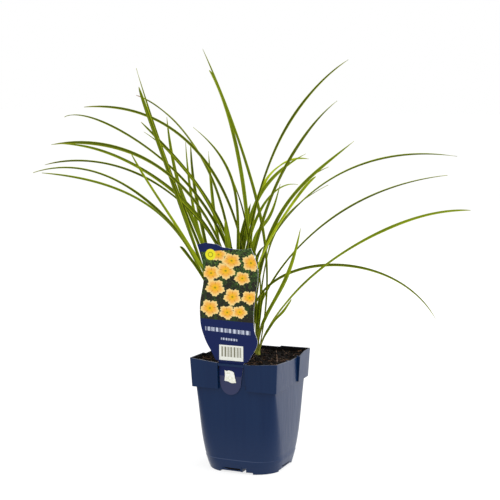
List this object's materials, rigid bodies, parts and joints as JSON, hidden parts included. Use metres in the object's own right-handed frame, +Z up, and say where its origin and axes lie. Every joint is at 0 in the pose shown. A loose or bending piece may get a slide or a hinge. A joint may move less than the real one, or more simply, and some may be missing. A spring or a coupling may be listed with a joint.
{
  "type": "daylily plant",
  "caption": "Young daylily with arching strap leaves, planted in a square nursery pot with a picture label behind its front strap.",
  "frame": {"origin": "on the floor under the middle of the pot, at the middle post of its foot", "axes": "+Z up through the middle of the pot; -Y is the front of the pot, with the label"},
  "size_m": [0.5491, 0.4363, 0.4961],
  "materials": {
    "pot": "satin dark blue polypropylene",
    "soil": "moist dark peat with fibres",
    "label": "printed translucent plastic plate",
    "sticker": "torn matte paper",
    "leaf": "smooth green leaf with fine lengthwise veins"
  },
  "bodies": {
    "root": {"pot": "pot", "soil": "soil", "label": "label", "sticker": "sticker", "fan_1": "leaf", "fan_2": "leaf", "fan_3": "leaf", "fan_4": "leaf", "fan_5": "leaf", "fan_6": "leaf", "fan_7": "leaf"}
  },
  "joints": []
}
